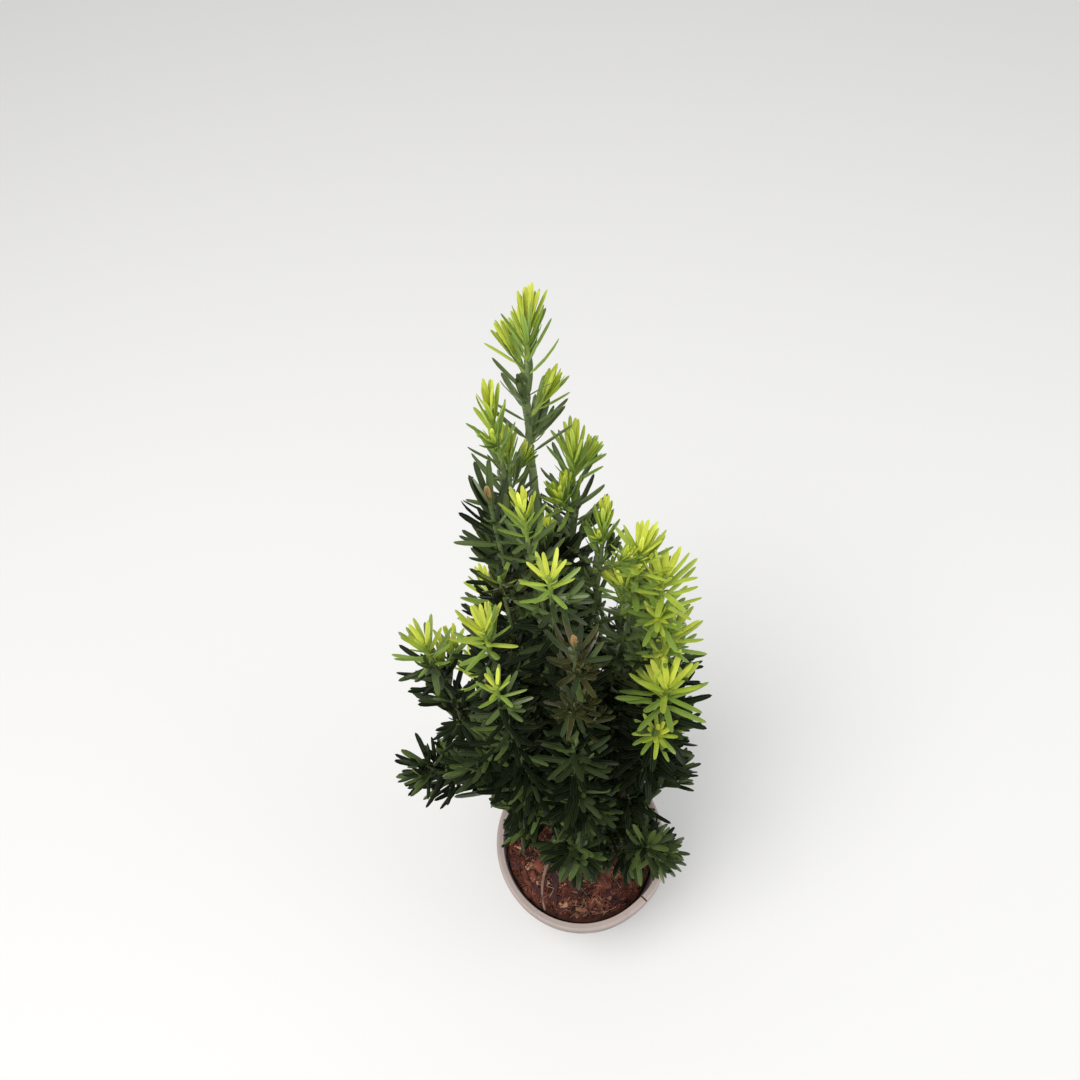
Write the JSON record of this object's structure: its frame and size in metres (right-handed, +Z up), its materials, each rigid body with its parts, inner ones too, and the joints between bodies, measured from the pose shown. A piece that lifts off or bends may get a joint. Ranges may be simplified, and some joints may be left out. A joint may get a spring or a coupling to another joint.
{
  "type": "potted hillii yew",
  "caption": "Young upright hillii yew with a leaning trunk, needled shoots all round and lime new growth, in a round nursery pot.",
  "frame": {"origin": "centre of the flat underside of the pot, on the surface that it stands on", "axes": "+Z up, out of the pot; +Y away from the viewer of the picture, the way the plant leans; +X to the viewer's right"},
  "size_m": [0.2073, 0.1929, 0.5346],
  "materials": {
    "pot": "matte taupe nursery plastic",
    "soil": "damp reddish bark mix",
    "bark": "thin brown bark",
    "foliage": "satin green needles"
  },
  "bodies": {
    "root": {"pot": "pot", "soil": "soil", "trunk": "bark", "bough_right_upper": "bark", "bough_right_middle": "bark", "bough_left_back": "bark", "bough_right_high": "bark", "bough_right_outer": "bark", "bough_right_side": "bark", "bough_right_low": "bark", "bough_front_star": "bark", "bough_left_inner": "bark", "bough_front_bronze": "bark", "bough_left_high": "bark", "bough_left_outer": "bark", "bough_left_small": "bark", "bough_left_low": "bark", "bough_front_right_low": "bark", "bough_right_lowest": "bark", "bough_front_middle": "bark", "bough_right_back": "bark", "bough_front_left_middle": "bark", "bough_back_left": "bark", "bough_back_right": "bark", "bough_back_high": "bark", "bough_back_low_left": "bark", "bough_back_low_right": "bark", "bough_back_low": "bark", "foliage_leader": "foliage", "foliage_left_upper": "foliage", "foliage_right_upper": "foliage", "foliage_front_upper": "foliage", "foliage_right_middle": "foliage", "foliage_left_back": "foliage", "foliage_right_high": "foliage", "foliage_right_outer": "foliage", "foliage_right_side": "foliage", "foliage_right_low": "foliage", "foliage_front_star": "foliage", "foliage_left_inner": "foliage", "foliage_front_bronze": "foliage", "foliage_left_high": "foliage", "foliage_left_outer": "foliage", "foliage_left_small": "foliage", "foliage_left_low": "foliage", "foliage_front_left_low": "foliage", "foliage_front_low": "foliage", "foliage_front_right_low": "foliage", "foliage_right_lowest": "foliage", "foliage_front_middle": "foliage", "foliage_front_right_middle": "foliage", "foliage_right_back": "foliage", "foliage_front_left_middle": "foliage", "foliage_back_left": "foliage", "foliage_back_right": "foliage", "foliage_back_high": "foliage", "foliage_back_low_left": "foliage", "foliage_back_low_right": "foliage", "foliage_back_low": "foliage"}
  },
  "joints": []
}
